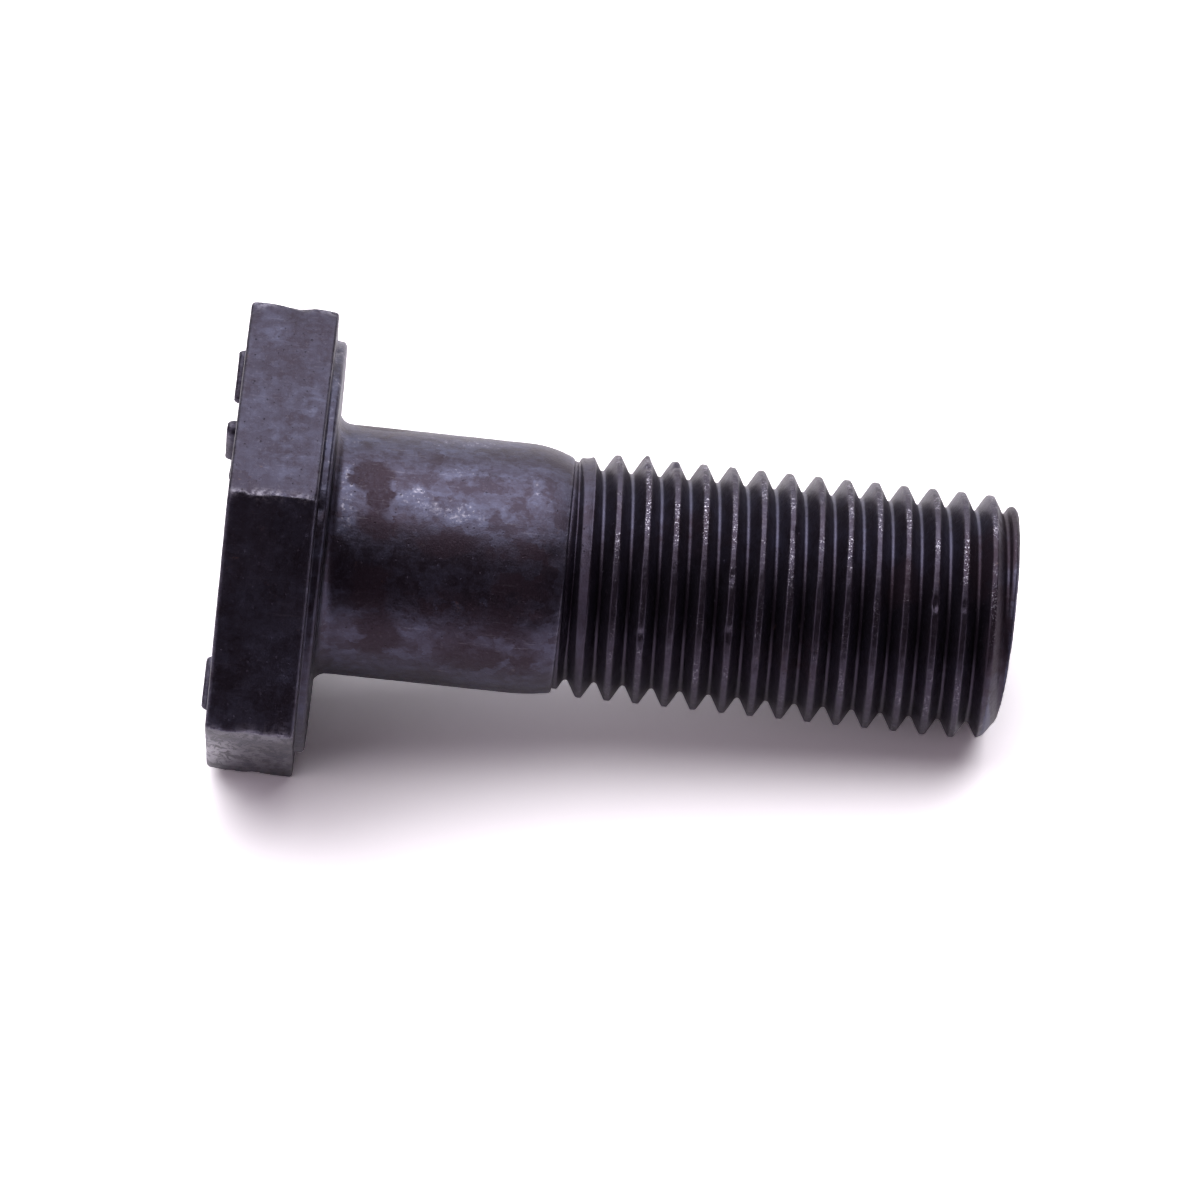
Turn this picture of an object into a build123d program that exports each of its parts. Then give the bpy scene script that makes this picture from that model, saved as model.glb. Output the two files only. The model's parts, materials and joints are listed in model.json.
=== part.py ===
"""Flywheel bolt: a low hexagon head with a washer face, a plain shank and a fine right-hand thread.

The bolt is modelled along its own Z axis, with the bearing plane at zero and the tip at +Z. It is then laid
down on the floor as it comes to rest, on the edge of one flat and on the last full crest of its thread.
Everything is in millimetres.
"""
from math import atan, ceil, cos, floor, radians, sin, tan
import os

from build123d import *

# Head
across_flats = 19.05            # 3/4 in spanner
hexagon_height = 3.85
washer_face_diameter = 18.2
washer_face_height = 0.45
head_edge_radius = 0.2

# Plain raised bars on top of the head, where such bolts carry their strength grade
mark_count = 6
mark_circle_diameter = 13.6
mark_length = 2.4
mark_width = 0.8
mark_height = 0.35
mark_turn = 5.5                 # degrees round from the middle of a flat

# Shank
shank_diameter = 11.05          # 7/16 in less its tolerance
plain_length = 8.5
shoulder_length = 2.0
under_head_radius = 0.6
under_head_length = 30.25       # about 1 3/16 in

# Thread, 7/16-20, right hand
thread_diameter = 10.9
thread_pitch = 1.27
flank_angle = 60
point_length = 0.95
point_diameter = 8.85

# What follows from the sizes above
hexagon_start = -washer_face_height - hexagon_height
shank_radius = shank_diameter / 2
thread_start = plain_length + shoulder_length
crest_radius = thread_diameter / 2
crest_flat = 0.2 * thread_pitch
thread_depth = 0.47 * thread_pitch
root_radius = crest_radius - thread_depth
blank_radius = crest_radius - 0.55 * thread_depth
run_out_length = 0.5 * thread_pitch
first_crest = thread_start - 0.39 * thread_pitch
turn_count = ceil((under_head_length - first_crest) / thread_pitch) + 1
core_end = under_head_length + thread_pitch

# One turn of the ridge between two grooves. Its foot reaches a little below the root, into the core.
half_flank = tan(radians(flank_angle / 2))
foot_radius = root_radius - 0.09 * thread_pitch
foot_half = crest_flat / 2 + (crest_radius - foot_radius) * half_flank
with BuildPart() as ridge_turn:
    with BuildLine() as lead:
        Helix(pitch=thread_pitch, height=thread_pitch, radius=root_radius, center=(0, 0, first_crest))
    with BuildSketch(Plane.XZ):
        with BuildLine():
            Polyline(
                (foot_radius, first_crest - foot_half),
                (crest_radius, first_crest - crest_flat / 2),
                (crest_radius, first_crest + crest_flat / 2),
                (foot_radius, first_crest + foot_half),
                close=True,
            )
        make_face()
    sweep(path=lead.line, is_frenet=True)

# Turn after turn of it, cut by a cone so that the crest rises out of the shoulder to its full height.
ridge_start = first_crest - 1.5 * thread_pitch
ridge_end = first_crest + (turn_count + 1) * thread_pitch
sunk_radius = blank_radius - 0.13 * thread_depth
clear_radius = crest_radius + 0.25 * thread_depth
with BuildPart() as ridge:
    with Locations(*[(0, 0, k * thread_pitch) for k in range(turn_count)]):
        add(ridge_turn.part)
    with BuildSketch(Plane.XZ):
        with BuildLine():
            Polyline(
                (0, ridge_start),
                (sunk_radius, ridge_start),
                (sunk_radius, first_crest),
                (clear_radius, first_crest + 2.5 * thread_pitch),
                (clear_radius, ridge_end),
                (0, ridge_end),
                close=True,
            )
        make_face()
    revolve(axis=Axis.Z, mode=Mode.INTERSECT)

with BuildPart() as upright_bolt:
    # Hexagon, with its two rims rounded
    with BuildSketch(Plane.XY.offset(hexagon_start)):
        RegularPolygon(radius=across_flats / 2, side_count=6, major_radius=False, rotation=30)
    extrude(amount=hexagon_height)
    rims = upright_bolt.edges().group_by(Axis.Z)[0] + upright_bolt.edges().group_by(Axis.Z)[-1]
    fillet(rims, radius=head_edge_radius)

    # Washer face
    with BuildSketch(Plane.XY.offset(-washer_face_height)):
        Circle(washer_face_diameter / 2)
    extrude(amount=washer_face_height)

    # Raised bars on top of the head
    with BuildSketch(Plane.XY.offset(hexagon_start)):
        with PolarLocations(mark_circle_diameter / 2, mark_count, start_angle=mark_turn):
            SlotOverall(mark_length, mark_width)
    extrude(amount=-mark_height)

    # Shank, turned in one: fillet under the head, plain length, shoulder, run-out and core of the thread
    fillet_radius = shank_radius + under_head_radius
    with BuildSketch(Plane.XZ):
        with BuildLine():
            Polyline((0, core_end), (0, -washer_face_height / 2), (fillet_radius, -washer_face_height / 2))
            Line((fillet_radius, -washer_face_height / 2), (fillet_radius, 0))
            Bezier((fillet_radius, 0), (shank_radius, 0), (shank_radius, under_head_radius))
            Line((shank_radius, under_head_radius), (shank_radius, plain_length))
            TangentArc((shank_radius, plain_length), (blank_radius, thread_start), tangent=(0, 1))
            Line((blank_radius, thread_start), (root_radius, thread_start + run_out_length))
            Polyline((root_radius, thread_start + run_out_length), (root_radius, core_end), (0, core_end))
        make_face()
    revolve(axis=Axis.Z)

    add(ridge.part)

    # Point: what stands past the tip, and a cone round the last thread
    point_radius = point_diameter / 2
    point_slope = (crest_radius - point_radius) / point_length
    with BuildSketch(Plane.XZ):
        with BuildLine():
            Polyline(
                (0, under_head_length),
                (point_radius, under_head_length),
                (point_radius + 2 * point_length * point_slope, under_head_length - 2 * point_length),
                (point_radius + 2 * point_length * point_slope, ridge_end + thread_pitch),
                (0, ridge_end + thread_pitch),
                close=True,
            )
        make_face()
    revolve(axis=Axis.Z, mode=Mode.SUBTRACT)

# At rest: two flats face up and down, and the tip points along +X and dips until its last full crest lands.
full_turns = floor((under_head_length - point_length - first_crest) / thread_pitch - 0.5)
last_crest = first_crest + (full_turns + 0.5) * thread_pitch
drop = across_flats / 2 - crest_radius
tilt = atan(drop / (last_crest + washer_face_height + head_edge_radius))
along = (cos(tilt), 0, -sin(tilt))
upward = (sin(tilt), 0, cos(tilt))

with BuildPart() as tilted_bolt:
    with Locations(Plane(origin=(0, 0, 0), x_dir=upward, z_dir=along).location):
        add(upright_bolt.part)

box = tilted_bolt.part.bounding_box()
corner = (-box.center().X, -box.center().Y, -box.min.Z)

with BuildPart() as flywheel_bolt:
    with Locations(Plane(origin=corner, x_dir=upward, z_dir=along).location):
        add(upright_bolt.part)
flywheel_bolt.part.label = "flywheel_bolt"

os.makedirs("parts", exist_ok=True)
export_step(flywheel_bolt.part, "parts/flywheel_bolt.step")
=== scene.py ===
"""Flywheel bolt, dressed: its head, shank and thread in fine mesh, in black-oxide steel, on a pale floor."""
import json
import math

import bpy
from mathutils import Matrix, Vector, noise


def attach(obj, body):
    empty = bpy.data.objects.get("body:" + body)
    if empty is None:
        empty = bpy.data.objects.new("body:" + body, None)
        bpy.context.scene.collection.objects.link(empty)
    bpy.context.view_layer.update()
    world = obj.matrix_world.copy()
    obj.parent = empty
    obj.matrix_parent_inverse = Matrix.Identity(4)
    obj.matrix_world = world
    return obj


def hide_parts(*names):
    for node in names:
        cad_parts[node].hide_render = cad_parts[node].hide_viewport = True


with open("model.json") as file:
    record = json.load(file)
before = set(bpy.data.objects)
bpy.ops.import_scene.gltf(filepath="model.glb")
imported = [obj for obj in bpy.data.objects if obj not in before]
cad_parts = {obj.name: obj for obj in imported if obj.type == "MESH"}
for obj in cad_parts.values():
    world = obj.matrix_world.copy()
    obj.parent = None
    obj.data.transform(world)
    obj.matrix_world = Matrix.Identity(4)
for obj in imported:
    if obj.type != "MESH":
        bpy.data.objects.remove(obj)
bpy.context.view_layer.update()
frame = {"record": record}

bl_info = {
    "name": "Flywheel Bolt",
    "version": (1, 0, 0),
    "blender": (4, 5, 0),
    "location": "View3D > Sidebar > Bolt",
    "description": "Builds a hexagon-head flywheel bolt and its studio",
    "category": "Add Mesh",
}

MM = 0.001
MOUNTS = {mount["name"]: mount for mount in frame["record"]["mounts"]}
SHANK = MOUNTS["shank"]
THREAD = MOUNTS["thread"]
DRIVE = MOUNTS["hex_drive"]

# The bolt's own axes: along it to the tip, out of its side towards -Y, and up out of its top flat.
ALONG = Vector(SHANK["axis"]).normalized()
SIDE = Vector((0, -1, 0))
UP = SIDE.cross(ALONG)


# Sizes and colours that a user would change

class BoltSizes(bpy.types.PropertyGroup):
    """Sizes of the bolt."""
    across_flats: bpy.props.FloatProperty(
        name="Across flats", description="Width of the hexagon", default=19.05 * MM,
        unit="LENGTH", precision=5)
    hexagon_height: bpy.props.FloatProperty(
        name="Hexagon height", description="Height of the hexagon alone",
        default=DRIVE["dims"]["length_mm"] * MM, unit="LENGTH", precision=5)
    washer_diameter: bpy.props.FloatProperty(
        name="Washer face", description="Diameter of the washer face", default=18.2 * MM,
        unit="LENGTH", precision=5)
    washer_height: bpy.props.FloatProperty(
        name="Washer face height", description="Height of the washer face", default=0.45 * MM,
        unit="LENGTH", precision=5)
    shank_diameter: bpy.props.FloatProperty(
        name="Shank", description="Diameter of the plain shank", default=SHANK["dims"]["r_mm"] * 2 * MM,
        unit="LENGTH", precision=5)
    plain_length: bpy.props.FloatProperty(
        name="Plain length", description="Length of the shank before its shoulder", default=8.5 * MM,
        unit="LENGTH", precision=5)
    thread_start: bpy.props.FloatProperty(
        name="Thread start", description="Distance from the bearing face to the end of the shoulder",
        default=10.5 * MM, unit="LENGTH", precision=5)
    length: bpy.props.FloatProperty(
        name="Length", description="Length under the head",
        default=(10.5 + THREAD["dims"]["length_mm"]) * MM, unit="LENGTH", precision=5)
    thread_diameter: bpy.props.FloatProperty(
        name="Thread", description="Diameter over the crests", default=THREAD["dims"]["r_mm"] * 2 * MM,
        unit="LENGTH", precision=5)
    pitch: bpy.props.FloatProperty(
        name="Pitch", description="Distance from crest to crest", default=1.27 * MM,
        unit="LENGTH", precision=5)
    point_diameter: bpy.props.FloatProperty(
        name="Point", description="Diameter of the chamfered point", default=8.85 * MM,
        unit="LENGTH", precision=5)
    point_length: bpy.props.FloatProperty(
        name="Point length", description="Length of the point's cone", default=0.95 * MM,
        unit="LENGTH", precision=5)


class BoltFinish(bpy.types.PropertyGroup):
    """Colours of the blackened steel."""
    oxide: bpy.props.FloatVectorProperty(
        name="Oxide", description="Colour of the black oxide", subtype="COLOR", default=(0.043, 0.034, 0.05))
    haze: bpy.props.FloatVectorProperty(
        name="Haze", description="Colour of the paler bloom on it", subtype="COLOR",
        default=(0.094, 0.093, 0.146))
    brown: bpy.props.FloatVectorProperty(
        name="Brown", description="Colour of its brown patches", subtype="COLOR",
        default=(0.029, 0.017, 0.0275))
    rust: bpy.props.FloatVectorProperty(
        name="Rust", description="Colour of its specks of rust", subtype="COLOR", default=(0.1, 0.04, 0.03))
    bare: bpy.props.FloatVectorProperty(
        name="Bare steel", description="Colour where the oxide has worn through", subtype="COLOR",
        default=(0.39, 0.365, 0.44))


class BoltStage(bpy.types.PropertyGroup):
    """View and light."""
    azimuth: bpy.props.FloatProperty(
        name="Azimuth", description="Camera's bearing round the bolt", subtype="ANGLE",
        default=math.radians(7.28))
    elevation: bpy.props.FloatProperty(
        name="Elevation", description="Camera's height as an angle", subtype="ANGLE",
        default=math.radians(49.45))
    roll: bpy.props.FloatProperty(
        name="Roll", description="Camera's turn about its line of sight", subtype="ANGLE",
        default=math.radians(-4.62))
    distance: bpy.props.FloatProperty(
        name="Distance", description="Camera's distance", unit="LENGTH", default=0.347)
    view_angle: bpy.props.FloatProperty(
        name="View angle", description="Camera's angle of view", subtype="ANGLE", default=math.radians(8.715))
    aim: bpy.props.FloatVectorProperty(
        name="Aim", description="What the camera looks at, in the bolt's own axes from its bearing face",
        subtype="XYZ", unit="LENGTH", default=(-0.00067, 0.000776, 0.012252))


# Geometry, in millimetres in the bolt's own axes: (up, side, along) from the centre of the bearing face

def bearing_centre(sizes):
    """The centre of the bearing face, from the drive mount on top of the head."""
    return Vector(DRIVE["pos_m"]) + ALONG * (sizes.hexagon_height + sizes.washer_height)


def wrapped(angle, radius, reach):
    """A point at an angle from the top flat, towards the side, at a radius and a reach along the bolt."""
    return (radius * math.cos(angle), radius * math.sin(angle), reach)


def rough(point, scale, octaves=3, seed=0.0):
    """Fractal unevenness at a point, about -1 to 1."""
    u, v, w = point
    return noise.fractal(Vector((u * scale + seed, v * scale + seed, w * scale - seed)), 1.0, 2.0, octaves)


def smooth_step(x, low, high):
    """0 below low, 1 above high, and a smooth rise between them."""
    t = min(max((x - low) / (high - low), 0.0), 1.0)
    return t * t * (3 - 2 * t)


def distance_round(angle, radius, degrees):
    """How far round the bolt a place is from another, given in degrees."""
    return ((angle - math.radians(degrees) + math.pi) % (2 * math.pi) - math.pi) * radius


def dented(angle, radius, reach, dents):
    """How far a list of dents, (degrees, reach, depth, size), pulls the surface in at this place."""
    total = 0.0
    for degrees, middle, depth, size in dents:
        gap = distance_round(angle, radius, degrees) ** 2 + (reach - middle) ** 2
        if gap < 9 * size * size:
            total += depth * math.exp(-gap / (2 * size * size))
    return total


def patched(angle, radius, reach, patches):
    """How much of a patch lies here, 1 in its middle: (degrees, reach, half along, half round, strength)."""
    edge = 2.5
    most = 0.0
    for degrees, middle, half_along, half_round, strength in patches:
        across = distance_round(angle, radius, degrees) / half_round
        gap = across ** 2 + ((reach - middle) / half_along) ** 2
        if gap < edge:
            most = max(most, strength * (1 - gap / edge))
    return most


def add_marks(marks, values):
    """Keeps one vertex's marks."""
    for mark, value in values.items():
        marks[mark].append(value)


def build_mesh(name, sizes, points, faces, marks):
    """A mesh piece in place. marks are numbers kept for each vertex, by name, for its finish to read."""
    centre = bearing_centre(sizes)
    mesh = bpy.data.meshes.new(name)
    placed = [centre + (UP * u + SIDE * v + ALONG * w) * MM for u, v, w in points]
    mesh.from_pydata(placed, [], faces)
    mesh.update()
    mesh.shade_smooth()
    own = mesh.attributes.new("own_mm", "FLOAT_VECTOR", "POINT")
    own.data.foreach_set("vector", [c for point in points for c in point])
    for mark, values in marks.items():
        attribute = mesh.attributes.new(mark, "FLOAT", "POINT")
        attribute.data.foreach_set("value", values)
    piece = bpy.data.objects.new(name, mesh)
    bpy.context.scene.collection.objects.link(piece)
    return piece


def ring_faces(rings, columns):
    """Quads between closed rings of equal length."""
    faces = []
    for i in range(rings - 1):
        for j in range(columns):
            k = (j + 1) % columns
            faces.append((i * columns + j, i * columns + k, (i + 1) * columns + k, (i + 1) * columns + j))
    return faces


# Head

def corner_angles(per_side, crowding=1.9):
    """Angles all round, crowded towards the six corners."""
    angles = []
    for side in range(6):
        for k in range(per_side):
            t = 2 * k / per_side - 1
            bend = math.copysign(1 - (1 - abs(t)) ** crowding, t)
            angles.append(math.radians(60 * side + 30 * bend))
    return angles


def hexagon_radius(angle, apothem, sharpness=220):
    """Radius of a hexagon with softened corners."""
    total = 0.0
    for side in range(6):
        c = math.cos(angle - math.radians(60 * side))
        if c > 0:
            total += (c / apothem) ** sharpness
    return total ** (-1 / sharpness)


def head_profile(half, height, washer, washer_height):
    """Rings from the middle of the top to the shank, as (apothem, radius, share of roundness, reach)."""
    top = -washer_height - height
    under = -washer_height
    rim = 0.2
    foot = 0.16
    quarter = [math.radians(18 * k) for k in range(6)]
    shares = (0.02, 0.1, 0.2, 0.3, 0.4, 0.5, 0.58, 0.66, 0.73, 0.79)
    rows = [(half * s, half * s, 1 - smooth_step(s, 0.3, 0.9), top) for s in shares]
    rows += [(half - inset, 0, 0, top) for inset in (1.6, 1.2, 0.85, 0.6, 0.4, 0.28)]
    rows += [(half - rim + rim * math.sin(a), 0, 0, top + rim - rim * math.cos(a)) for a in quarter]
    side_rows = 26
    rows += [(half, 0, 0, top + rim + (height - rim - foot) * k / side_rows) for k in range(1, side_rows)]
    rows += [(half - foot + foot * math.cos(a), 0, 0, under - foot + foot * math.sin(a)) for a in quarter]
    rows.append((half - foot - 0.06, 0, 0, under))
    rows += [(washer + 0.1, washer + 0.14, share, under) for share in (0.35, 0.7, 1.0)]
    # The wall of the washer face, with a fillet and a worn edge, as (past its radius, reach), then the face.
    wall = [(0.06, under + 0.02), (0.01, under + 0.06), (0.0, under + 0.1), (0.0, -0.17)]
    wall += [(-0.02, -0.12), (-0.07, -0.06), (-0.14, -0.02), (-0.2, 0.0)]
    rows += [(washer, washer + past, 1, reach) for past, reach in wall]
    rows += [(washer, washer - 0.2 - 2.9 * k / 10, 1, 0.0) for k in range(1, 11)]
    rows.append((washer, 5.4, 1, 0.0))
    return rows


# Knocks on the corners, as (degrees, reach, depth, size).
HEAD_DENTS = [
    (-28, -4.2, 0.1, 0.25), (-30, -2.1, 0.1, 0.5), (-30, -0.6, 0.1, 0.3), (27, -3.0, 0.05, 0.3),
    (33, -1.6, 0.06, 0.3), (30, -0.5, 0.14, 0.22), (33, -2.2, 0.04, 0.4), (29, -3.3, 0.06, 0.3),
    (30, -4.2, 0.08, 0.3), (90, -4.1, 0.08, 0.3), (89, -0.8, 0.06, 0.3), (91, -2.5, 0.04, 0.5),
    (150, -4.2, 0.08, 0.4), (149, -2.0, 0.04, 0.4), (-90, -2.0, 0.08, 0.6), (210, -0.9, 0.12, 0.35),
    (-31, -2.7, 0.04, 0.4),
]
# Scraped lower flats, brown stains and pale blooms, as (degrees, reach, half along, half round, strength).
HEAD_SCRAPES = [
    (121, -3.8, 0.9, 3.1, 1.9), (124, -2.2, 1.6, 3.3, 0.8), (93, -1.5, 1.9, 0.7, 0.9),
    (208, -2.2, 1.0, 1.5, 0.8), (272, -3.2, 0.8, 2.0, 0.5),
]
HEAD_STAINS = [
    (38, -3.3, 1.2, 2.2, 1.0), (-11, -3.3, 0.6, 0.5, 0.5), (60, -1.0, 0.6, 2.5, 0.4), (-60, -2, 1.5, 2, 0.6),
    (170, -2.4, 1.2, 1.6, 0.7), (250, -2.0, 1.4, 2.5, 0.6),
]
HEAD_BLOOMS = [
    (-22, -3.0, 0.5, 0.8, 0.45), (15, -2.2, 0.8, 1.4, 0.35), (2, -1.2, 0.5, 0.9, 0.4),
    (80, -1.1, 0.4, 1.0, 0.3),
]


def uneven_top(base):
    """How far the top of the head is worn down at a place."""
    return 0.02 * abs(rough(base, 0.5, 3, 1.3))


def make_head(sizes):
    """The hexagon with its worn rims and corners, and the washer face."""
    half = sizes.across_flats / 2 / MM
    height = sizes.hexagon_height / MM
    washer = sizes.washer_diameter / 2 / MM
    washer_height = sizes.washer_height / MM
    under = -washer_height
    top = under - height
    inside = 0.006      # how far the flats keep inside their true place
    outer = 8           # radius past which wear reaches
    angles = corner_angles(per_side=44)
    rows = head_profile(half, height, washer, washer_height)
    points = [(0, 0, top + uneven_top((0, 0, top)))]
    marks = {"wear": [0.0], "scrape": [0.0], "stain": [0.0], "bloom_and_sheen": [0.0]}
    for apothem, round_radius, roundness, reach in rows:
        for angle in angles:
            radius = (1 - roundness) * hexagon_radius(angle, apothem - inside) + roundness * round_radius
            base = wrapped(angle, radius, reach)
            near_corner = 0.0
            if radius > washer + 0.2:
                from_corner = math.degrees(angle) % 60 - 30
                fringe = 1.0 + 0.9 * rough(wrapped(angle, 3, reach), 1.3, 3, 2.2)
                near_corner = math.exp(-(from_corner / max(fringe, 0.35)) ** 2)
                uneven = (0.08 * near_corner + 0.014) * rough(base, 1.3, 4, 7.7)
                radius += min(0.02 * rough(base, 0.35, 2, 3.1) + uneven, 0.0)
            elif radius > outer:
                radius += 0.03 * min(rough(base, 1.1, 3, 4.4), 0.0)
            if radius > outer:
                radius -= dented(angle, radius, reach, HEAD_DENTS)
            lift = uneven_top(base) if reach < top + 0.01 else 0.0
            points.append(wrapped(angle, radius, reach + lift))
            rims = 0.25 * math.exp(-((reach - top) / 0.16) ** 2)
            rims += 0.2 * math.exp(-((reach - under) / 0.14) ** 2)
            # Painted highlight: the washer face and its wall paler towards the top of the bolt.
            painted_washer_sheen = 0.25 + 0.4 * math.cos(angle + math.radians(30)) if reach > under + 0.01 else 0.0
            add_marks(marks, {
                "wear": min(1.0, max(near_corner, rims if radius > half - 0.25 else 0.0)),
                "scrape": patched(angle, radius, reach, HEAD_SCRAPES) if radius > half - 0.1 else 0.0,
                "stain": patched(angle, radius, reach, HEAD_STAINS),
                "bloom_and_sheen": max(patched(angle, radius, reach, HEAD_BLOOMS), painted_washer_sheen),
            })
    columns = len(angles)
    faces = [(0, 1 + (j + 1) % columns, 1 + j) for j in range(columns)]
    faces += [tuple(1 + i for i in quad) for quad in ring_faces(len(rows), columns)]
    return build_mesh("head", sizes, points, faces, marks)


def make_grade_bars(sizes, length=2.4, width=0.8, circle=13.6, turn=5.5, shift=(0.19, -0.23)):
    """Plain raised bars on top of the head, soft at their edges and not all equally high."""
    top = -(sizes.washer_height + sizes.hexagon_height) / MM
    sunk = 0.02
    heights = (0.44, 0.05, 0.42, 0.35, 0.44, 0.44)
    # The rings of a bar, as (inset, share of its height).
    levels = [(0.0, 0.0), (0.0, 0.4), (0.03, 0.68), (0.08, 0.88), (0.15, 1.0), (0.3, 1.0)]
    columns = 40
    points, faces, wear = [], [], []
    for bar, height in enumerate(heights):
        spoke = 2 * math.pi * bar / len(heights) + math.radians(turn)
        first = len(points)
        for inset, rise in levels:
            for j in range(columns):
                a = 2 * math.pi * j / columns
                reach_out = math.copysign(max(length / 2 - width / 2, 0), math.cos(a))
                x = circle / 2 + reach_out + (width / 2 - inset) * math.cos(a)
                y = (width / 2 - inset) * math.sin(a)
                u = x * math.cos(spoke) - y * math.sin(spoke) + shift[0]
                v = x * math.sin(spoke) + y * math.cos(spoke) + shift[1]
                hollow = 1 - 0.12 * abs(rough((u, v, 0), 1.5))
                points.append((u, v, top + sunk - rise * height * hollow))
                wear.append(0.4 if 0.5 < rise < 1.0 else 0.1)
        faces += [tuple(first + i for i in reversed(quad)) for quad in ring_faces(len(levels), columns)]
        faces.append(tuple(first + (len(levels) - 1) * columns + j for j in reversed(range(columns))))
    return build_mesh("grade_bars", sizes, points, faces, {"wear": wear})


# Shank

FILLET = 0.6    # radius under the head
# Knocks, brown stains and pale blooms, given as on the head.
SHANK_DENTS = [
    (50, 6.2, 0.02, 0.3), (20, 3.1, 0.03, 0.25), (64, 9.4, 0.03, 0.2), (5, 7.5, 0.02, 0.35),
    (110, 4.4, 0.03, 0.3), (200, 5.0, 0.04, 0.4), (-70, 7.0, 0.03, 0.3), (35, 9.9, 0.03, 0.25),
    (-7, 7.0, 0.04, 0.1),
]
SHANK_STAINS = [
    (4, 1.75, 0.75, 0.75, 1.2), (14, 2.15, 0.5, 0.9, 1.1), (28, 2.2, 0.7, 0.7, 0.9),
    (-42, 2.1, 0.9, 0.5, 1.3), (-12, 4.6, 0.4, 0.4, 0.4), (33, 5.2, 1.2, 0.5, 0.7),
    (35, 8.6, 1.6, 0.55, 0.7), (57, 2.2, 0.8, 1.0, 0.9), (55, 8.7, 1.2, 1.3, 0.7),
    # The long patches at 90 and 84 degrees darken the side towards -Y along much of the shank.
    (80, 2.6, 1.1, 1.1, 0.9), (90, 7.0, 2.4, 1.0, 0.7), (62, 5.4, 1.6, 0.8, 0.6),
    (-62, 4.0, 1.5, 0.5, 0.5), (72, 8.6, 1.4, 0.9, 0.6), (84, 5.0, 4.0, 1.0, 0.5),
    (85, 9.0, 0.8, 0.8, 0.6), (150, 4.0, 1.6, 2.0, 0.7), (220, 7.0, 1.5, 2.5, 0.8),
    (280, 2.5, 1.2, 2.0, 0.8),
]
SHANK_BLOOMS = [
    (16, 0.75, 0.35, 2.3, 0.7), (-23, 0.9, 0.8, 0.8, 0.6), (17, 5.4, 1.5, 0.6, 0.85),
    (13, 7.6, 1.2, 0.6, 0.5), (12, 3.9, 0.8, 0.6, 0.8), (-3, 6.3, 1.6, 0.6, 0.6),
    (78, 4.6, 0.8, 1.0, 0.2), (75, 7.0, 0.6, 0.4, 0.25), (-30, 5.5, 2.8, 1.0, 0.6),
    (0, 8.8, 0.9, 1.2, 0.45), (100, 8.5, 1.2, 0.8, 0.25), (180, 7.0, 1.5, 1.5, 0.7),
    (300, 5.5, 2.0, 2.0, 0.7), (250, 4.0, 1.2, 1.5, 0.6),
]


def shank_radius(sizes, angle, reach):
    """Radius of the fillet, the plain length and the shoulder, which ends a little off centre."""
    radius = sizes.shank_diameter / 2 / MM
    plain = sizes.plain_length / MM
    end = sizes.thread_start / MM
    if reach < FILLET:
        down = FILLET - max(reach, 0.0)
        return radius + FILLET - math.sqrt(max(FILLET ** 2 - down ** 2, 0.0))
    if reach <= plain:
        return radius
    t = (reach - plain) / (end - plain)
    last = 5.2 + 0.13 * math.cos(angle - math.radians(130))
    return radius - (radius - last) * t ** 2


def make_shank(sizes):
    """The plain shank from the bearing face to the ring where its shoulder ends."""
    end = sizes.thread_start / MM
    columns = 288
    plain_rows = 84
    steps = [-0.06] + [FILLET * (1 - math.cos(math.radians(9 * k))) for k in range(1, 11)]
    steps += [FILLET + (end - 0.08 - FILLET) * k / plain_rows for k in range(1, plain_rows + 1)]
    steps += [end - 0.05, end - 0.02, end]
    points, marks = [], {"wear": [], "stain": [], "bloom_and_sheen": []}
    for reach in steps:
        for j in range(columns):
            angle = 2 * math.pi * j / columns
            radius = shank_radius(sizes, angle, reach)
            base = wrapped(angle, radius, reach)
            if reach > FILLET + 0.1:
                radius -= abs(0.010 * rough(base, 0.5, 2, 5.0)) + abs(0.006 * rough(base, 2.4, 3, 9.0))
                radius -= dented(angle, radius, reach, SHANK_DENTS)
            radius -= 0.05 * smooth_step(reach, end - 0.055, end)
            points.append(wrapped(angle, radius, reach))
            add_marks(marks, {
                "wear": 0.5 * math.exp(-((reach - end) / 0.09) ** 2),
                "stain": patched(angle, radius, reach, SHANK_STAINS),
                "bloom_and_sheen": patched(angle, radius, reach, SHANK_BLOOMS),
            })
    step_down = [(4.98, end + 0.012), (4.8, end + 0.02), (4.3, end + 0.03)]
    for radius, reach in step_down:
        for j in range(columns):
            points.append(wrapped(2 * math.pi * j / columns, radius, reach))
            add_marks(marks, dict.fromkeys(marks, 0.0))
    faces = ring_faces(len(steps) + len(step_down), columns)
    return build_mesh("shank", sizes, points, faces, marks)


# Thread

ROOT = 4.65             # radius that its height is counted from
RUN_OUT_CREST = 5.13    # radius of the crests where they leave the shoulder
RUN_OUT_ROOT = 4.97     # radius of the roots there
POINT_BLEND = 0.37      # how softly the thread turns into the cone of the point
END_EDGE = 0.05         # how far the edge round the end is below it
# Nicks in the crests and metal pushed up on them, as (degrees, reach, depth, size).
THREAD_DENTS = [
    (37, 26.66, 0.26, 0.11), (45, 26.7, 0.1, 0.1), (36, 27.93, 0.1, 0.1), (66, 14.05, 0.12, 0.14),
    (61, 17.86, 0.14, 0.14), (-27, 13.7, 0.1, 0.14), (-33, 14.9, 0.1, 0.16), (8, 20.4, 0.1, 0.12),
    (20, 23.0, 0.09, 0.12), (75, 19.2, 0.08, 0.14), (90, 23.0, 0.08, 0.15), (34, 17.7, 0.07, 0.12),
    (-12, 29.2, 0.08, 0.15), (0, 24.5, 0.08, 0.1), (140, 19.0, 0.12, 0.2), (200, 16.0, 0.12, 0.2),
    (250, 24.0, 0.14, 0.2), (-60, 21.0, 0.1, 0.15),
]
THREAD_BURRS = [
    (-46, 13.65, 0.1, 0.13), (-38, 14.95, 0.1, 0.12), (-50, 11.1, 0.06, 0.1), (58, 27.45, 0.05, 0.12),
    (126, 13.6, 0.06, 0.1),
]
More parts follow.
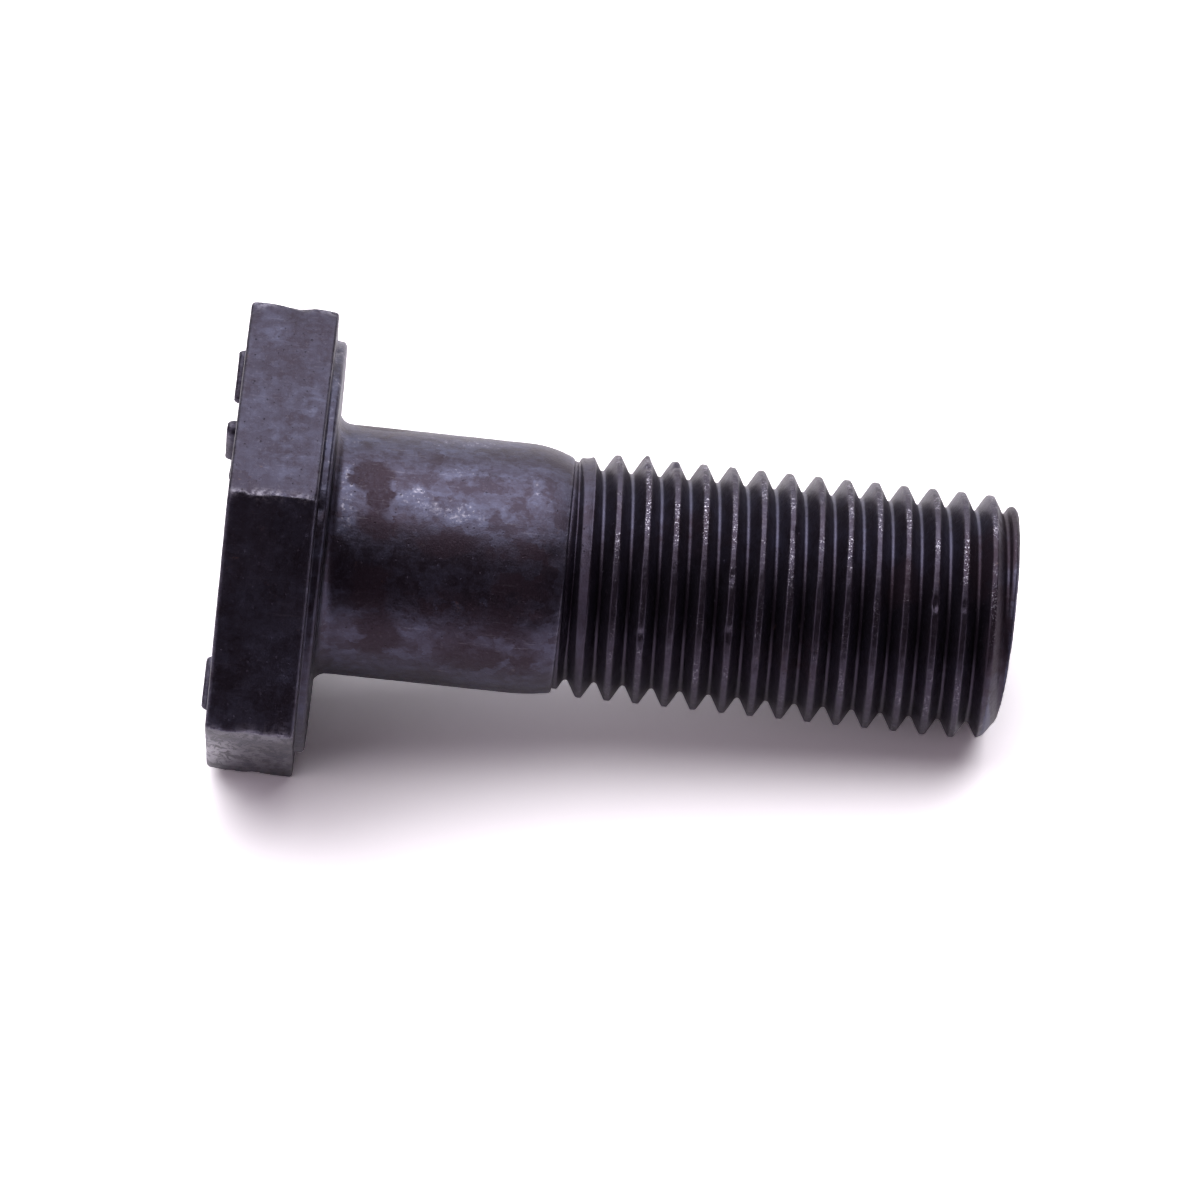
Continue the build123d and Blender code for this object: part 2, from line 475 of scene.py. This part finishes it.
# Brown stains, given as on the head.
THREAD_STAINS = [
    (27, 25.2, 0.6, 1.0, 1.0), (10, 16.0, 1.5, 1.2, 0.5), (70, 21.0, 2.0, 1.5, 0.4),
    (13, 28.6, 0.8, 1.5, 0.8), (50, 29.6, 0.6, 2.5, 0.6), (-20, 29.9, 0.6, 2.4, 1.0),
    (180, 20.0, 3.0, 2.5, 0.6), (300, 15.0, 2.5, 2.0, 0.5),
]


def thread_height(gap, pitch, crest, flat, root_fillet=0.135, edge=0.09):
    """Radius of the thread's form at a distance along the bolt from the nearest crest."""
    tilt = math.radians(60)
    past_flat = gap - flat
    edge_width = edge * math.sin(tilt)
    if past_flat < edge_width:
        return crest - edge + math.sqrt(edge ** 2 - max(past_flat, 0.0) ** 2)
    radius = crest - edge * (1 - math.cos(tilt)) - (past_flat - edge_width) * math.tan(tilt)
    apex = crest - edge * (1 - math.cos(tilt)) - (pitch / 2 - flat - edge_width) * math.tan(tilt)
    from_root = pitch / 2 - gap
    if from_root < root_fillet * math.sin(tilt):
        radius = apex + root_fillet / math.cos(tilt) - math.sqrt(root_fillet ** 2 - from_root ** 2)
    return radius


def thread_samples(pitch):
    """Places across one pitch, from crest to crest, crowded at the crest and the root."""
    drawn_for = 1.27
    half = [0.0, 0.06, 0.084, 0.108, 0.138, 0.185, 0.235, 0.285, 0.335, 0.385, 0.435, 0.49, 0.53, 0.565, 0.6]
    half = [g * pitch / drawn_for for g in half]
    return half + [pitch / 2] + [pitch - g for g in reversed(half[1:])]


def make_thread(sizes):
    """The thread on its helix, from inside the shoulder to the point, with the end of the bolt."""
    pitch = sizes.pitch / MM
    crest = sizes.thread_diameter / 2 / MM
    start = sizes.thread_start / MM
    length = sizes.length / MM
    point_radius = sizes.point_diameter / 2 / MM
    point_slope = (crest - point_radius) / (sizes.point_length / MM)
    first = start - 0.39 * pitch - pitch    # reach of the first crest, hidden inside the shoulder
    turns = math.ceil((length - first) / pitch) + 1
    across = thread_samples(pitch)
    per_turn = len(across)
    columns = 180
    rows = [turn * pitch + gap for turn in range(turns) for gap in across]
    points, marks = [], {"crest": [], "wear": [], "stain": [], "painted_low_shade": [], "bloom_and_sheen": []}
    rim = {}
    for i, row in enumerate(rows):
        gap_here = across[i % per_turn]
        gap_here = min(gap_here, pitch - gap_here)
        for j in range(columns):
            angle = 2 * math.pi * j / columns
            reach = first + row + pitch * j / columns
            # The form here: less deep by the shoulder, crests uneven and blunter low on one side.
            rise = smooth_step(reach, start + 0.5, start + 1.35)
            top = RUN_OUT_CREST + (crest - RUN_OUT_CREST) * rise
            wobble = noise.noise(Vector((math.cos(angle) * 2.2, math.sin(angle) * 2.2, reach * 0.7)))
            local_crest = crest - 0.028 + 0.02 * wobble
            below = smooth_step(0.5 + 0.5 * math.cos(angle - math.radians(95)), 0.5, 0.85)
            radius = thread_height(gap_here, pitch, local_crest, 0.06 + 0.012 * below)
            floor_radius = RUN_OUT_ROOT - 0.5 * smooth_step(reach, start, start + 0.75)
            radius = max(min(radius, top), floor_radius)
            height = (radius - ROOT) / (crest - ROOT)
            # Wear, on the upper part of the form only.
            base = wrapped(angle, radius, reach)
            if height > 0.6:
                radius += (height - 0.6) * 0.07 * (rough(base, 3.8, 4, 2.0) - 0.8)
                radius -= dented(angle, radius, reach, THREAD_DENTS)
                radius += (height - 0.6) * 2.5 * dented(angle, radius, reach, THREAD_BURRS)
            # The cone of the point cuts it down, and the end cuts it off.
            fuller, worn_back = uneven_point(angle)
            cone = point_radius + (length - reach) * point_slope + fuller
            on_point = radius > cone
            overlap = max(POINT_BLEND - abs(radius - cone), 0.0)
            radius = max(min(radius, cone) - overlap ** 2, point_radius - 0.2)
            end = length - END_EDGE - worn_back
            if reach >= end:
                rim.setdefault(j, radius)
            points.append(wrapped(angle, radius, min(reach, end)))
            add_marks(marks, {
                "crest": min(max(height, 0.0), 1.0),
                "wear": 0.3 if on_point else smooth_step(height, 0.86, 1.0),
                "stain": patched(angle, radius, reach, THREAD_STAINS),
                # Painted shade, darker towards the side round 95 degrees.
                "painted_low_shade": below,
                # On the point a painted sheen, paler towards -Y.
                "bloom_and_sheen": 0.6 + 0.45 * math.sin(angle) if on_point else 0.0,
            })
    faces = helix_faces(len(rows), columns, per_turn, points, length)
    add_tip(points, faces, marks, rim, length, columns)
    return build_mesh("thread", sizes, points, faces, marks)


def uneven_point(angle):
    """How much fuller the point's cone is than it should be, and how far its end is worn back."""
    below = 0.5 - 0.5 * math.cos(angle + math.radians(50))
    fuller = 0.26 - 0.15 * below + 0.03 * rough(wrapped(angle, 4.5, 0), 1.2, 3, 4.0)
    return fuller, 0.03 + 0.12 * (1 - math.cos(angle - math.radians(30)))


def helix_faces(rings, columns, per_turn, points, length):
    """Quads of a grid whose rings climb one turn each time round, left out past the end of the bolt."""
    faces = []
    for i in range(rings - 1):
        for j in range(columns):
            here = i * columns + j
            if j < columns - 1:
                quad = (here, here + 1, here + columns + 1, here + columns)
            elif i + per_turn + 1 < rings:
                ahead = (i + per_turn) * columns
                quad = (here, ahead, ahead + columns, here + columns)
            else:
                continue
            limit = length - END_EDGE - uneven_point(2 * math.pi * (j + 0.5) / columns)[1]
            if all(points[k][2] >= limit - 0.003 for k in quad):
                continue
            faces.append(quad)
    return faces


def add_tip(points, faces, marks, rim, length, columns):
    """The end of the bolt, from the rim where the thread stops: a rounded edge and a shallow dish."""
    widest = 4.5
    # Rings from the rim to the middle, as (inset, rise).
    rings = [(-0.003, -END_EDGE), (0.02, -0.025), (0.05, -0.01), (0.1, 0.0), (0.3, 0.0), (0.6, -0.02)]
    rings += [(1.1, -0.08), (1.8, -0.14), (2.6, -0.18), (3.4, -0.2), (4.1, -0.2), (4.48, -0.2)]
    first = len(points)
    for inset, lift in rings:
        share = 1 - inset / widest
        for j in range(columns):
            angle = 2 * math.pi * j / columns
            worn_back = uneven_point(angle)[1] * smooth_step(share, 0.1, 1.0)
            base = wrapped(angle, rim[j] * share, length)
            uneven = 0.02 * abs(rough(base, 1.4, 3, 6.0)) + 0.01 * abs(rough(base, 4.0, 2, 2.0))
            if inset <= 0:
                uneven = 0.0
            points.append(wrapped(angle, rim[j] * share, length + lift - worn_back - uneven))
            wear = 0.5 if -0.06 < lift < -0.01 else 0.2
            # The end face takes a little of the painted shade and of the point's painted sheen.
            add_marks(marks, {"crest": 0.7, "wear": wear, "stain": 0.1, "painted_low_shade": 0.2, "bloom_and_sheen": 0.1})
    faces += [tuple(first + i for i in quad) for quad in ring_faces(len(rings), columns)]


# Finish

class Number:
    """A number that changes over a surface, with Python's own arithmetic."""

    def __init__(self, finish, socket):
        self.finish = finish
        self.socket = socket

    def work(self, operation, *values):
        node = self.finish.node("ShaderNodeMath", {"operation": operation}, dict(enumerate(values)))
        return Number(self.finish, node.outputs[0])

    def __abs__(self):
        return self.work("ABSOLUTE", self)

    def __add__(self, other):
        return self.work("ADD", self, other)

    __radd__ = __add__

    def __sub__(self, other):
        return self.work("SUBTRACT", self, other)

    def __rsub__(self, other):
        return self.work("SUBTRACT", other, self)

    def __mul__(self, other):
        return self.work("MULTIPLY", self, other)

    __rmul__ = __mul__

    def at_most(self, other):
        return self.work("MINIMUM", self, other)

    def at_least(self, other):
        return self.work("MAXIMUM", self, other)

    def clipped(self):
        return self.at_least(0.0).at_most(1.0)

    def between(self, low, high):
        """0 at low, 1 at high, eased at both ends."""
        values = {"Value": self, "From Min": low, "From Max": high, "To Min": 0.0, "To Max": 1.0}
        node = self.finish.node("ShaderNodeMapRange", {"interpolation_type": "SMOOTHSTEP"}, values)
        return Number(self.finish, node.outputs["Result"])


class Finish:
    """A material, or the world, and the nodes that make it."""

    def __init__(self, owner):
        owner.use_nodes = True
        self.tree = owner.node_tree
        self.tree.nodes.clear()

    def node(self, kind, settings=None, values=None):
        """A node with its settings, and the values or links of its sockets."""
        made = self.tree.nodes.new(kind)
        for name, setting in (settings or {}).items():
            setattr(made, name, setting)
        for name, value in (values or {}).items():
            self.feed(made.inputs[name], value)
        return made

    def feed(self, socket, value):
        """Links a number or another node's socket to a socket, or sets it to a plain value."""
        if isinstance(value, Number):
            value = value.socket
        if isinstance(value, bpy.types.NodeSocket):
            self.tree.links.new(value, socket)
        else:
            socket.default_value = value

    def mark(self, name):
        """A number kept on the mesh."""
        return Number(self, self.node("ShaderNodeAttribute", {"attribute_name": name}).outputs["Fac"])

    def own_place(self):
        """Where the surface is on the bolt, in millimetres in its own axes."""
        return self.node("ShaderNodeAttribute", {"attribute_name": "own_mm"}).outputs["Vector"]

    def stretched(self, place, scale, shift=(0, 0, 0)):
        """A place stretched along the bolt's axes and shifted, so that no two patterns agree."""
        values = {"Vector": place, "Scale": scale, "Location": shift}
        return self.node("ShaderNodeMapping", {}, values).outputs[0]

    def vector(self, operation, *values):
        """A vector worked out from others."""
        return self.node("ShaderNodeVectorMath", {"operation": operation}, dict(enumerate(values))).outputs[0]

    def noise(self, place, scale, detail=3.0, roughness=0.55, distortion=0.0):
        """A cloudy number, 0 to 1."""
        values = {"Vector": place, "Scale": scale, "Detail": detail}
        values.update({"Roughness": roughness, "Distortion": distortion})
        return Number(self, self.node("ShaderNodeTexNoise", {}, values).outputs["Fac"])

    def cells(self, place, scale):
        """The distance from the nearest of many scattered points."""
        values = {"Vector": place, "Scale": scale}
        return Number(self, self.node("ShaderNodeTexVoronoi", {}, values).outputs["Distance"])

    def patchwork(self, place, scale, wobble, shift):
        """A number for each of many ragged patches, 0 to 1."""
        moved = self.vector("ADD", place, shift)
        bend = self.node("ShaderNodeTexNoise", {}, {"Vector": moved, "Scale": scale * 2.5, "Detail": 3.0})
        bent = self.vector("MULTIPLY_ADD", bend.outputs["Color"], (wobble,) * 3, moved)
        cell = self.node("ShaderNodeTexVoronoi", {}, {"Vector": bent, "Scale": scale}).outputs["Color"]
        return Number(self, self.node("ShaderNodeSeparateColor", {}, {"Color": cell}).outputs[0])

    def mixed(self, share, one, other):
        """A colour between two others."""
        made = self.node("ShaderNodeMix", {"data_type": "RGBA"})
        wanted = {"Factor_Float": share, "A_Color": one, "B_Color": other}
        for socket in made.inputs:
            if socket.identifier in wanted:
                value = wanted[socket.identifier]
                if isinstance(value, (tuple, list)):
                    value = (*value, 1.0)
                self.feed(socket, value)
        return next(s for s in made.outputs if s.identifier == "Result_Color")

    def bumped(self, height, distance, strength):
        """The way the surface faces, roughened by a height."""
        values = {"Height": height, "Distance": distance, "Strength": strength}
        return self.node("ShaderNodeBump", {}, values).outputs["Normal"]


def steel(name, colours, zone):
    """Blackened steel, worn and mottled. zone is head, shank or thread."""
    material = bpy.data.materials.new(name)
    finish = Finish(material)
    place = finish.own_place()
    wear, stain = finish.mark("wear"), finish.mark("stain")

    # Patterns, from the broadest to the finest.
    cloud = finish.noise(place, 0.35, 3, 0.55, 0.3)
    blotch = finish.noise(finish.stretched(place, (1, 1, 0.8), (3, 1, 7)), 0.9, 4, 0.6, 0.6)
    patchy = finish.noise(finish.stretched(place, (1, 1, 0.75), (8, 2, 5)), 2.0, 3, 0.6, 0.6)
    mottle = finish.noise(finish.stretched(place, (1, 1, 0.55), (1, 6, 2)), 4.2, 4, 0.65, 0.4)
    grain = finish.noise(place, 5.5, 4, 0.7)
    fine = finish.noise(place, 14.0, 3, 0.65)
    specks = finish.noise(finish.stretched(place, (1, 1, 1), (4, 4, 1)), 6.5, 2, 0.5)
    along_it = finish.noise(finish.stretched(place, (1, 1, 0.12)), 6.0, 3, 0.6)
    round_it = finish.noise(finish.stretched(place, (0.22, 0.22, 1), (5, 9, 3)), 3.2, 3, 0.6)
    pits = (1 - finish.cells(place, 3.6).between(0.08, 0.2)) * grain.between(0.5, 0.62)
    large = finish.patchwork(finish.stretched(place, (1, 1, 0.85)), 1.3, 0.6, (2.0, 5.0, 1.0))
    small = finish.patchwork(finish.stretched(place, (1, 1, 0.85)), 3.2, 0.3, (7.0, 1.0, 4.0))

    # How pale and how brown the oxide is.
    contrast = {"head": 0.5, "shank": 1.0, "thread": 0.8}[zone]    # how strongly its patches show
    haze = cloud.between(0.4, 0.68) * 0.2 + blotch.between(0.46, 0.6) * 0.15
    haze = haze + patchy.between(0.46, 0.58) * 0.1
    haze = haze + ((large - 0.5) * 0.4 + (small - 0.5) * 0.3) * contrast + 0.08
    haze = haze + (mottle.between(0.42, 0.6) - 0.5) * 0.16 * contrast + (grain - 0.5) * 0.35 * contrast
    brown = stain * 1.2 + (blotch - 0.5) * 1.3 + (patchy - 0.5) * 0.8
    brown = (brown + (mottle - 0.5) * 0.6 + (0.5 - large) * 0.35).between(0.28, 0.86)

    # Where it is scuffed and where it glints, with painted highlights, sheen and shade.
    bloom_and_sheen = finish.mark("bloom_and_sheen")
    if zone == "thread":
        # Painted shade towards the side round 95 degrees: it dims the oxide's paleness, the roots, the scuffs
        # and the glints.
        painted_low_shade = finish.mark("painted_low_shade")
        # Painted highlight: a paler line along the roots, which turns darker in the painted shade.
        painted_root_highlight = 1 - finish.mark("crest").between(0.0, 0.13)
        haze = (haze * 0.7 + painted_root_highlight * (0.32 - painted_low_shade)).clipped() * (1 - wear * 0.5) * (1 - painted_low_shade * 0.6)
        # Painted sheen on the point, kept in the same mark as the pale blooms.
        haze = haze + bloom_and_sheen * 0.75
        cluster = finish.noise(finish.stretched(place, (1, 1, 1), (6, 2, 2)), 0.55, 2).between(0.48, 0.6)
        scuffed = wear * (mottle * 0.7 + grain * 0.4).between(0.52, 0.8) * (0.2 - painted_low_shade * 0.08)
        glints = wear * (fine * 0.75 + grain * 0.35).between(0.6, 0.65) * (cluster * 1.5 + 0.1)
        glints = glints * (1 - painted_low_shade * 0.7)
    else:
        # The pale blooms, and the washer face's painted highlight towards its top, which shares their mark.
        haze = haze + (bloom_and_sheen + (blotch - 0.5) * 1.6 + (patchy - 0.5) * 1.3).between(0.2, 0.8) * 0.44
        haze = haze + (along_it - 0.5) * (0.1 if zone == "head" else 0.3)
        scuffed = wear * (patchy * 0.35 + mottle * 0.3 + grain * 0.45).between(0.47, 0.66) * 0.6
        cluster = (bloom_and_sheen + (blotch - 0.5) * 1.5).between(0.4, 0.9) * (1 - brown)
        glints = (specks * 0.75 + grain * 0.25).between(0.56, 0.68) * (cluster * 0.4 + 0.04)
        glints = glints + (specks * 0.5 + patchy * 0.5).between(0.5, 0.62) * cluster * 0.2
        scratches = finish.noise(finish.stretched(place, (1, 1, 0.06), (2, 3, 8)), 8.0, 2).between(0.64, 0.7)
        glints = glints + scratches * blotch.between(0.45, 0.6) * (0.05 if zone == "head" else 0.09)
    if zone == "head":
        brown = brown * 0.35
        haze = haze + (round_it - 0.5) * 0.5 + 0.04
        ragged = finish.noise(finish.stretched(place, (0.45, 0.45, 1.2), (4, 7, 7)), 1.7, 4, 0.65, 0.8)
        scuffed = scuffed.at_least(finish.mark("scrape") * ragged.between(0.46, 0.55) * 0.52)
    haze = haze.clipped()
    rust = finish.noise(finish.stretched(place, (1, 1, 1), (11, 5, 2)), 1.3, 6, 0.7) + stain * 0.06
    rust = rust.between(0.66, 0.76)

    # The colours, one over another.
    # Painted shade: the head takes the same colours, darker, to hold its flats down under the lights.
    painted_head_shade = 0.77 if zone == "head" else 1.0
    oxide = [painted_head_shade * part for part in colours.oxide]
    pale = [painted_head_shade * part for part in colours.haze]
    dull = [painted_head_shade * part for part in colours.brown]
    colour = finish.mixed(haze, oxide, pale)
    colour = finish.mixed((brown * (0.9 + (grain - 0.5) * 0.8)).clipped(), colour, dull)
    colour = finish.mixed((rust * grain.between(0.4, 0.6) * 0.6).clipped(), colour, tuple(colours.rust))
    colour = finish.mixed((scuffed * 0.7 + glints * 0.9).clipped(), colour, tuple(colours.bare))
    colour = finish.mixed((pits * 0.5).clipped(), colour, [0.4 * part for part in oxide])

    # The shader.
    roughness = 0.37 + (grain - 0.5) * 0.2 + haze * 0.06 + brown * 0.08
    roughness = (roughness - glints * 0.14 - scuffed * 0.1).clipped()
    metal = (0.95 - rust * 0.5 - brown * 0.15).clipped()
    height = grain * 0.5 + fine * 0.35 + along_it * 0.3 - pits * 0.9 + finish.noise(place, 1.8, 3) * 0.8
    normal = finish.bumped(height, 0.00002 if zone == "shank" else 0.00003, 0.8)
    shader = finish.node("ShaderNodeBsdfPrincipled", {}, {
        "Base Color": colour, "Roughness": roughness, "Metallic": metal, "Normal": normal,
    })
    finish.node("ShaderNodeOutputMaterial", {}, {"Surface": shader.outputs[0]})
    return material


# Stage

def make_floor():
    """A pale sheet that keeps the shadow. Seen directly it shows twice over, and so burns out to white."""
    left, right, front, back = -0.5, 0.5, -0.06, 0.9
    corners = [(left, front, 0), (right, front, 0), (right, back, 0), (left, back, 0)]
    mesh = bpy.data.meshes.new("floor")
    mesh.from_pydata(corners, [], [(0, 1, 2, 3)])
    floor = bpy.data.objects.new("floor", mesh)
    bpy.context.scene.collection.objects.link(floor)
    material = bpy.data.materials.new("pale_floor")
    finish = Finish(material)
    rays = finish.node("ShaderNodeLightPath").outputs
    mirrored = Number(finish, rays["Is Glossy Ray"]) + Number(finish, rays["Is Transmission Ray"])
    seen = (Number(finish, rays["Is Camera Ray"]) + mirrored * 0.3).at_most(1.0)
    pale = (0.875, 0.84, 0.88, 1)
    matt, again = (finish.node("ShaderNodeBsdfDiffuse", {}, {"Color": pale}).outputs[0] for _ in range(2))
    twice = finish.node("ShaderNodeAddShader", {}, {0: matt, 1: again}).outputs[0]
    shown = finish.node("ShaderNodeMixShader", {}, {0: seen, 1: matt, 2: twice}).outputs[0]
    finish.node("ShaderNodeOutputMaterial", {}, {"Surface": shown})
    mesh.materials.append(material)


def make_light():
    """A large soft light overhead, a weak card in front, and one behind that only the steel mirrors."""
    area_light("softbox", (-0.05, 0.216, 0.975), 0.62, (1.1, 0.65), 5.6, (1.0, 1.0, 1.0))
    area_light("front_card", (-0.75, -0.5, 0.5), 0.7, (0.5, 0.5), 0.9, (1.0, 0.93, 1.0))
    back_card = area_light("back_card", (0.0, 0.84, 0.54), 0.7, (1.1, 0.5), 1.6, (0.98, 0.97, 1.0))
    back_card.visible_diffuse = False


def area_light(name, direction, distance, size, energy, colour):
    """A rectangular light of some width and depth that faces the bolt, from a direction and a distance."""
    lamp = bpy.data.lights.new(name, "AREA")
    lamp.shape = "RECTANGLE"
    lamp.size, lamp.size_y = size
    lamp.energy = energy
    lamp.color = colour
    light = bpy.data.objects.new(name, lamp)
    bpy.context.scene.collection.objects.link(light)
    direction = Vector(direction).normalized()
    light.location = direction * distance
    light.rotation_euler = direction.to_track_quat("Z", "Y").to_euler()
    return light


def make_world():
    """Pale behind, dim in front and at the sides, and white where the camera sees it."""
    world = bpy.data.worlds.new("studio")
    bpy.context.scene.world = world
    finish = Finish(world)
    rays = finish.node("ShaderNodeLightPath").outputs
    direction = finish.node("ShaderNodeTexCoord").outputs["Generated"]
    parts = finish.node("ShaderNodeSeparateXYZ", {}, {"Vector": direction}).outputs
    ahead, aside = Number(finish, parts["Y"]), abs(Number(finish, parts["X"]))
    behind = ahead.between(0.15, 0.6) * (1 - aside.between(0.45, 0.75))
    white = (Number(finish, rays["Is Camera Ray"]) + behind).at_most(1.0)
    colour = finish.mixed(white, (0.074, 0.051, 0.063), (1.0, 1.0, 1.0))
    back = finish.node("ShaderNodeBackground", {}, {"Color": colour, "Strength": 1.0})
    finish.node("ShaderNodeOutputWorld", {}, {"Surface": back.outputs[0]})


def make_camera(stage):
    """The camera, set by its angles round the bolt."""
    a, e = stage.azimuth, stage.elevation
    back = Vector((math.sin(a) * math.cos(e), -math.cos(a) * math.cos(e), math.sin(e)))
    right = Vector((0, 0, 1)).cross(back).normalized()
    up = back.cross(right)
    turn = Matrix.Rotation(stage.roll, 3, back)
    right, up = turn @ right, turn @ up
    aim = UP * stage.aim[0] + SIDE * stage.aim[1] + ALONG * stage.aim[2]
    place = bearing_centre(bpy.context.scene.bolt_sizes) + aim + back * stage.distance
    data = bpy.data.cameras.new("camera")
    data.lens_unit = "FOV"
    data.angle = stage.view_angle
    data.clip_start = 0.01
    data.clip_end = 20.0
    camera = bpy.data.objects.new("camera", data)
    bpy.context.scene.collection.objects.link(camera)
    camera.matrix_world = Matrix((
        (right.x, up.x, back.x, place.x),
        (right.y, up.y, back.y, place.y),
        (right.z, up.z, back.z, place.z),
        (0, 0, 0, 1),
    ))
    bpy.context.scene.camera = camera


# Operators

class BOLT_OT_head(bpy.types.Operator):
    """Makes the hexagon head and its washer face"""
    bl_idname = "bolt.make_head"
    bl_label = "Head"

    def execute(self, context):
        head = make_head(context.scene.bolt_sizes)
        head.data.materials.append(steel("black_oxide_head", context.scene.bolt_finish, "head"))
        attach(head, "root")
        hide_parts("flywheel_bolt")
        return {"FINISHED"}


class BOLT_OT_grade_bars(bpy.types.Operator):
    """Makes the raised bars on top of the head"""
    bl_idname = "bolt.make_grade_bars"
    bl_label = "Grade bars"

    def execute(self, context):
        bars = make_grade_bars(context.scene.bolt_sizes)
        bars.data.materials.append(steel("black_oxide_bars", context.scene.bolt_finish, "head"))
        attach(bars, "root")
        return {"FINISHED"}


class BOLT_OT_shank(bpy.types.Operator):
    """Makes the plain shank with its fillet and shoulder"""
    bl_idname = "bolt.make_shank"
    bl_label = "Shank"

    def execute(self, context):
        shank = make_shank(context.scene.bolt_sizes)
        shank.data.materials.append(steel("black_oxide_shank", context.scene.bolt_finish, "shank"))
        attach(shank, "root")
        return {"FINISHED"}


class BOLT_OT_thread(bpy.types.Operator):
    """Makes the thread and the point"""
    bl_idname = "bolt.make_thread"
    bl_label = "Thread"

    def execute(self, context):
        thread = make_thread(context.scene.bolt_sizes)
        thread.data.materials.append(steel("black_oxide_thread", context.scene.bolt_finish, "thread"))
        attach(thread, "root")
        return {"FINISHED"}


class BOLT_OT_stage(bpy.types.Operator):
    """Makes the floor, the light and the camera"""
    bl_idname = "bolt.make_stage"
    bl_label = "Stage"

    def execute(self, context):
        make_floor()
        make_light()
        make_world()
        make_camera(context.scene.bolt_stage)
        context.scene.view_settings.view_transform = "Standard"
        return {"FINISHED"}


# Panel, and the run from start to finish

class BOLT_PT_panel(bpy.types.Panel):
    """The bolt's sizes, its finish and the steps that build it"""
    bl_idname = "BOLT_PT_panel"
    bl_label = "Flywheel bolt"
    bl_space_type = "VIEW_3D"
    bl_region_type = "UI"
    bl_category = "Bolt"

    def draw(self, context):
        for group in (context.scene.bolt_sizes, context.scene.bolt_finish, context.scene.bolt_stage):
            box = self.layout.box()
            for name in group.bl_rna.properties.keys():
                if name not in ("rna_type", "name"):
                    box.prop(group, name)
        for operator in OPERATORS:
            self.layout.operator(operator.bl_idname)


OPERATORS = (BOLT_OT_stage, BOLT_OT_head, BOLT_OT_grade_bars, BOLT_OT_shank, BOLT_OT_thread)
GROUPS = {"bolt_sizes": BoltSizes, "bolt_finish": BoltFinish, "bolt_stage": BoltStage}


def register():
    for made in (*GROUPS.values(), *OPERATORS, BOLT_PT_panel):
        bpy.utils.register_class(made)
    for name, group in GROUPS.items():
        setattr(bpy.types.Scene, name, bpy.props.PointerProperty(type=group))


def unregister():
    for name in GROUPS:
        delattr(bpy.types.Scene, name)
    for made in reversed((*GROUPS.values(), *OPERATORS, BOLT_PT_panel)):
        bpy.utils.unregister_class(made)


def main():
    register()
    for operator in OPERATORS:
        getattr(bpy.ops.bolt, operator.bl_idname.split(".")[1])()
    bpy.context.view_layer.update()


if __name__ == "__main__":
    main()
